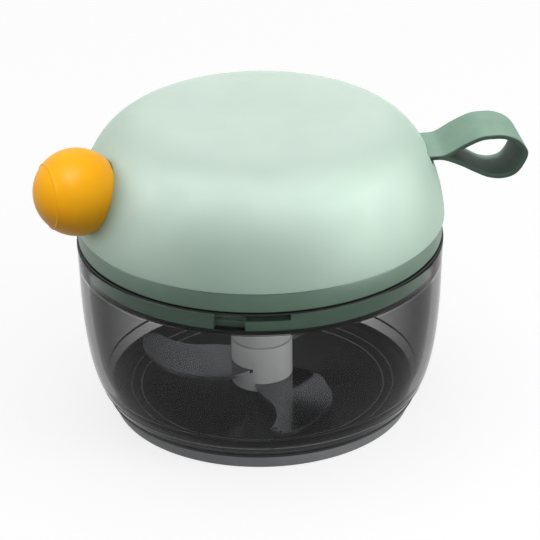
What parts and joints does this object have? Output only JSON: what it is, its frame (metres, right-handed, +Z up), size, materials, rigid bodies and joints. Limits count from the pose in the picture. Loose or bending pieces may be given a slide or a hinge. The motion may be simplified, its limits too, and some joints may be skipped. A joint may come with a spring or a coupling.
{
  "type": "manual pull cord food chopper",
  "caption": "Small hand chopper: clear smoke bowl, sickle blades on a hub, domed lid with a spring-returned pull cord, ball knob and hanging strap.",
  "frame": {"origin": "centre of the foot pad's underside, on the blades' axis", "axes": "+Z up along the blades' axis, +X towards the hanging strap, -Y towards the viewer of the picture"},
  "size_m": [0.1298, 0.098, 0.0835],
  "materials": {
    "cover": "satin mint green",
    "band": "satin darker green",
    "bowl": "clear smoke grey",
    "pad": "grey silicone",
    "seal": "black silicone",
    "hub": "white",
    "blade": "ground stainless steel",
    "steel": "plain steel",
    "bush": "plain bronze",
    "reel": "natural acetal",
    "cord": "braided white cord",
    "strap": "mint silicone",
    "knob": "satin orange yellow",
    "mark": "orange red"
  },
  "bodies": {
    "bowl": {"foot_pad": "pad", "bowl": "bowl", "spindle_pin": "steel"},
    "seal": {"lid_seal": "seal"},
    "lid": {"lid_base": "band", "lock_mark": "mark", "reel_bush": "bush", "cover": "cover", "spring_arbor": "hub", "cord_lead": "cord", "arbor_screw": "steel", "cover_screw_1": "steel", "cover_screw_2": "steel", "cover_screw_3": "steel", "strap": "strap", "strap_pin": "steel", "cord_guide": "steel"},
    "reel": {"reel": "reel", "cord_winding": "cord", "power_spring": "steel", "spring_retainer": "steel"},
    "blades": {"blade_hub": "hub", "hub_bush": "bush", "drive_sleeve": "hub", "blade_low": "blade", "blade_middle": "blade", "blade_high": "blade"},
    "pull": {"knob_body": "knob", "knob_cap": "knob", "cord_knot": "cord"}
  },
  "joints": [
    {"name": "lid_turn", "type": "hinge", "parent": "bowl", "child": "seal", "pos_m": [0, 0, 0.049], "axis": [0, 0, 1], "range_deg": [-14, 0]},
    {"name": "lid_lift", "type": "slide", "parent": "seal", "child": "lid", "axis": [0, 0, 1], "range_m": [0, 0.06]},
    {"name": "reel_spin", "type": "hinge", "parent": "lid", "child": "reel", "pos_m": [0, 0, 0.07], "axis": [0, 0, 1], "range_deg": [0, 1050], "stiffness_Nm_per_rad": 0.0024, "springref_deg": -326.59},
    {"name": "cord_pull", "type": "slide", "parent": "lid", "child": "pull", "axis": [-0.9336, -0.3584, 0], "range_m": [0, 0.32]},
    {"name": "blade_spin", "type": "hinge", "parent": "seal", "child": "blades", "pos_m": [0, 0, 0.012], "axis": [0, 0, 1], "range_deg": [0, 1050]}
  ],
  "couplings": [
    {"joint": "cord_pull", "follows": "reel_spin", "m_per_rad": 0.0174},
    {"joint": "blade_spin", "follows": "reel_spin", "ratio": 1}
  ]
}
